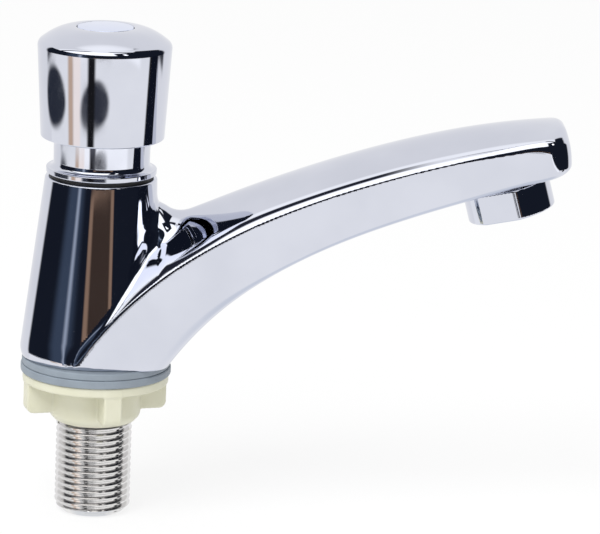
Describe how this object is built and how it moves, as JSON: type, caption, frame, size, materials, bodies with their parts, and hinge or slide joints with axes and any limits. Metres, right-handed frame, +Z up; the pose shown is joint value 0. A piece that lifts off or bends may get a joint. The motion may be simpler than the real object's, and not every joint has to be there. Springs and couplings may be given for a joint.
{
  "type": "push timed tap",
  "caption": "Deck-mounted self-closing tap: chromed column and spout, push cap over a timed cartridge, threaded tail with gasket, washer and back nut, and a tilted aerator.",
  "frame": {"origin": "on the tail's axis, in the deck plane under the base gasket", "axes": "+Z up along the column, +X along the spout"},
  "size_m": [0.1497, 0.0416, 0.1369],
  "materials": {
    "chrome": "polished",
    "index_face": "polished",
    "steel": "machined",
    "brass": "machined",
    "grey_rubber": "matt",
    "black_rubber": "matt",
    "ivory_plastic": "moulded",
    "white_plastic": "moulded"
  },
  "bodies": {
    "tap": {"tap_body": "chrome", "threaded_tail": "steel", "tail_seal": "black_rubber", "inlet_strainer": "steel", "base_gasket": "grey_rubber", "seat_gasket": "black_rubber", "cartridge_housing": "brass", "housing_ring": "black_rubber", "metering_pin": "steel", "bonnet": "chrome", "bonnet_gasket": "black_rubber", "stem_ring": "black_rubber", "return_spring": "steel", "aerator_shell": "chrome", "aerator_washer": "black_rubber", "aerator_filter": "steel", "aerator_insert": "white_plastic", "outlet_plate": "white_plastic"},
    "plunger": {"push_cap": "chrome", "cap_screw": "steel", "index_disc": "index_face", "plunger_stem": "steel", "cup_seal": "black_rubber", "piston": "brass", "spacer_sleeve": "brass", "valve_seal": "black_rubber", "valve_disc": "brass", "stem_nut": "brass"},
    "washer": {"clamp_washer": "grey_rubber"},
    "nut": {"back_nut": "ivory_plastic"}
  },
  "joints": [
    {"name": "push_stroke", "type": "slide", "parent": "tap", "child": "plunger", "axis": [0, 0, -1], "range_m": [0, 0.006], "stiffness_N_per_m": 800, "springref_m": -0.02, "deforming": ["return_spring"]},
    {"name": "washer_slide", "type": "slide", "parent": "tap", "child": "washer", "axis": [0, 0, -1], "range_m": [0, 0.024]},
    {"name": "nut_turn", "type": "hinge", "parent": "washer", "child": "nut", "pos_m": [0, 0, 0], "axis": [0, 0, -1], "range_deg": [0, 4750]}
  ],
  "couplings": [
    {"joint": "washer_slide", "follows": "nut_turn", "m_per_rad": 0.00028871}
  ]
}
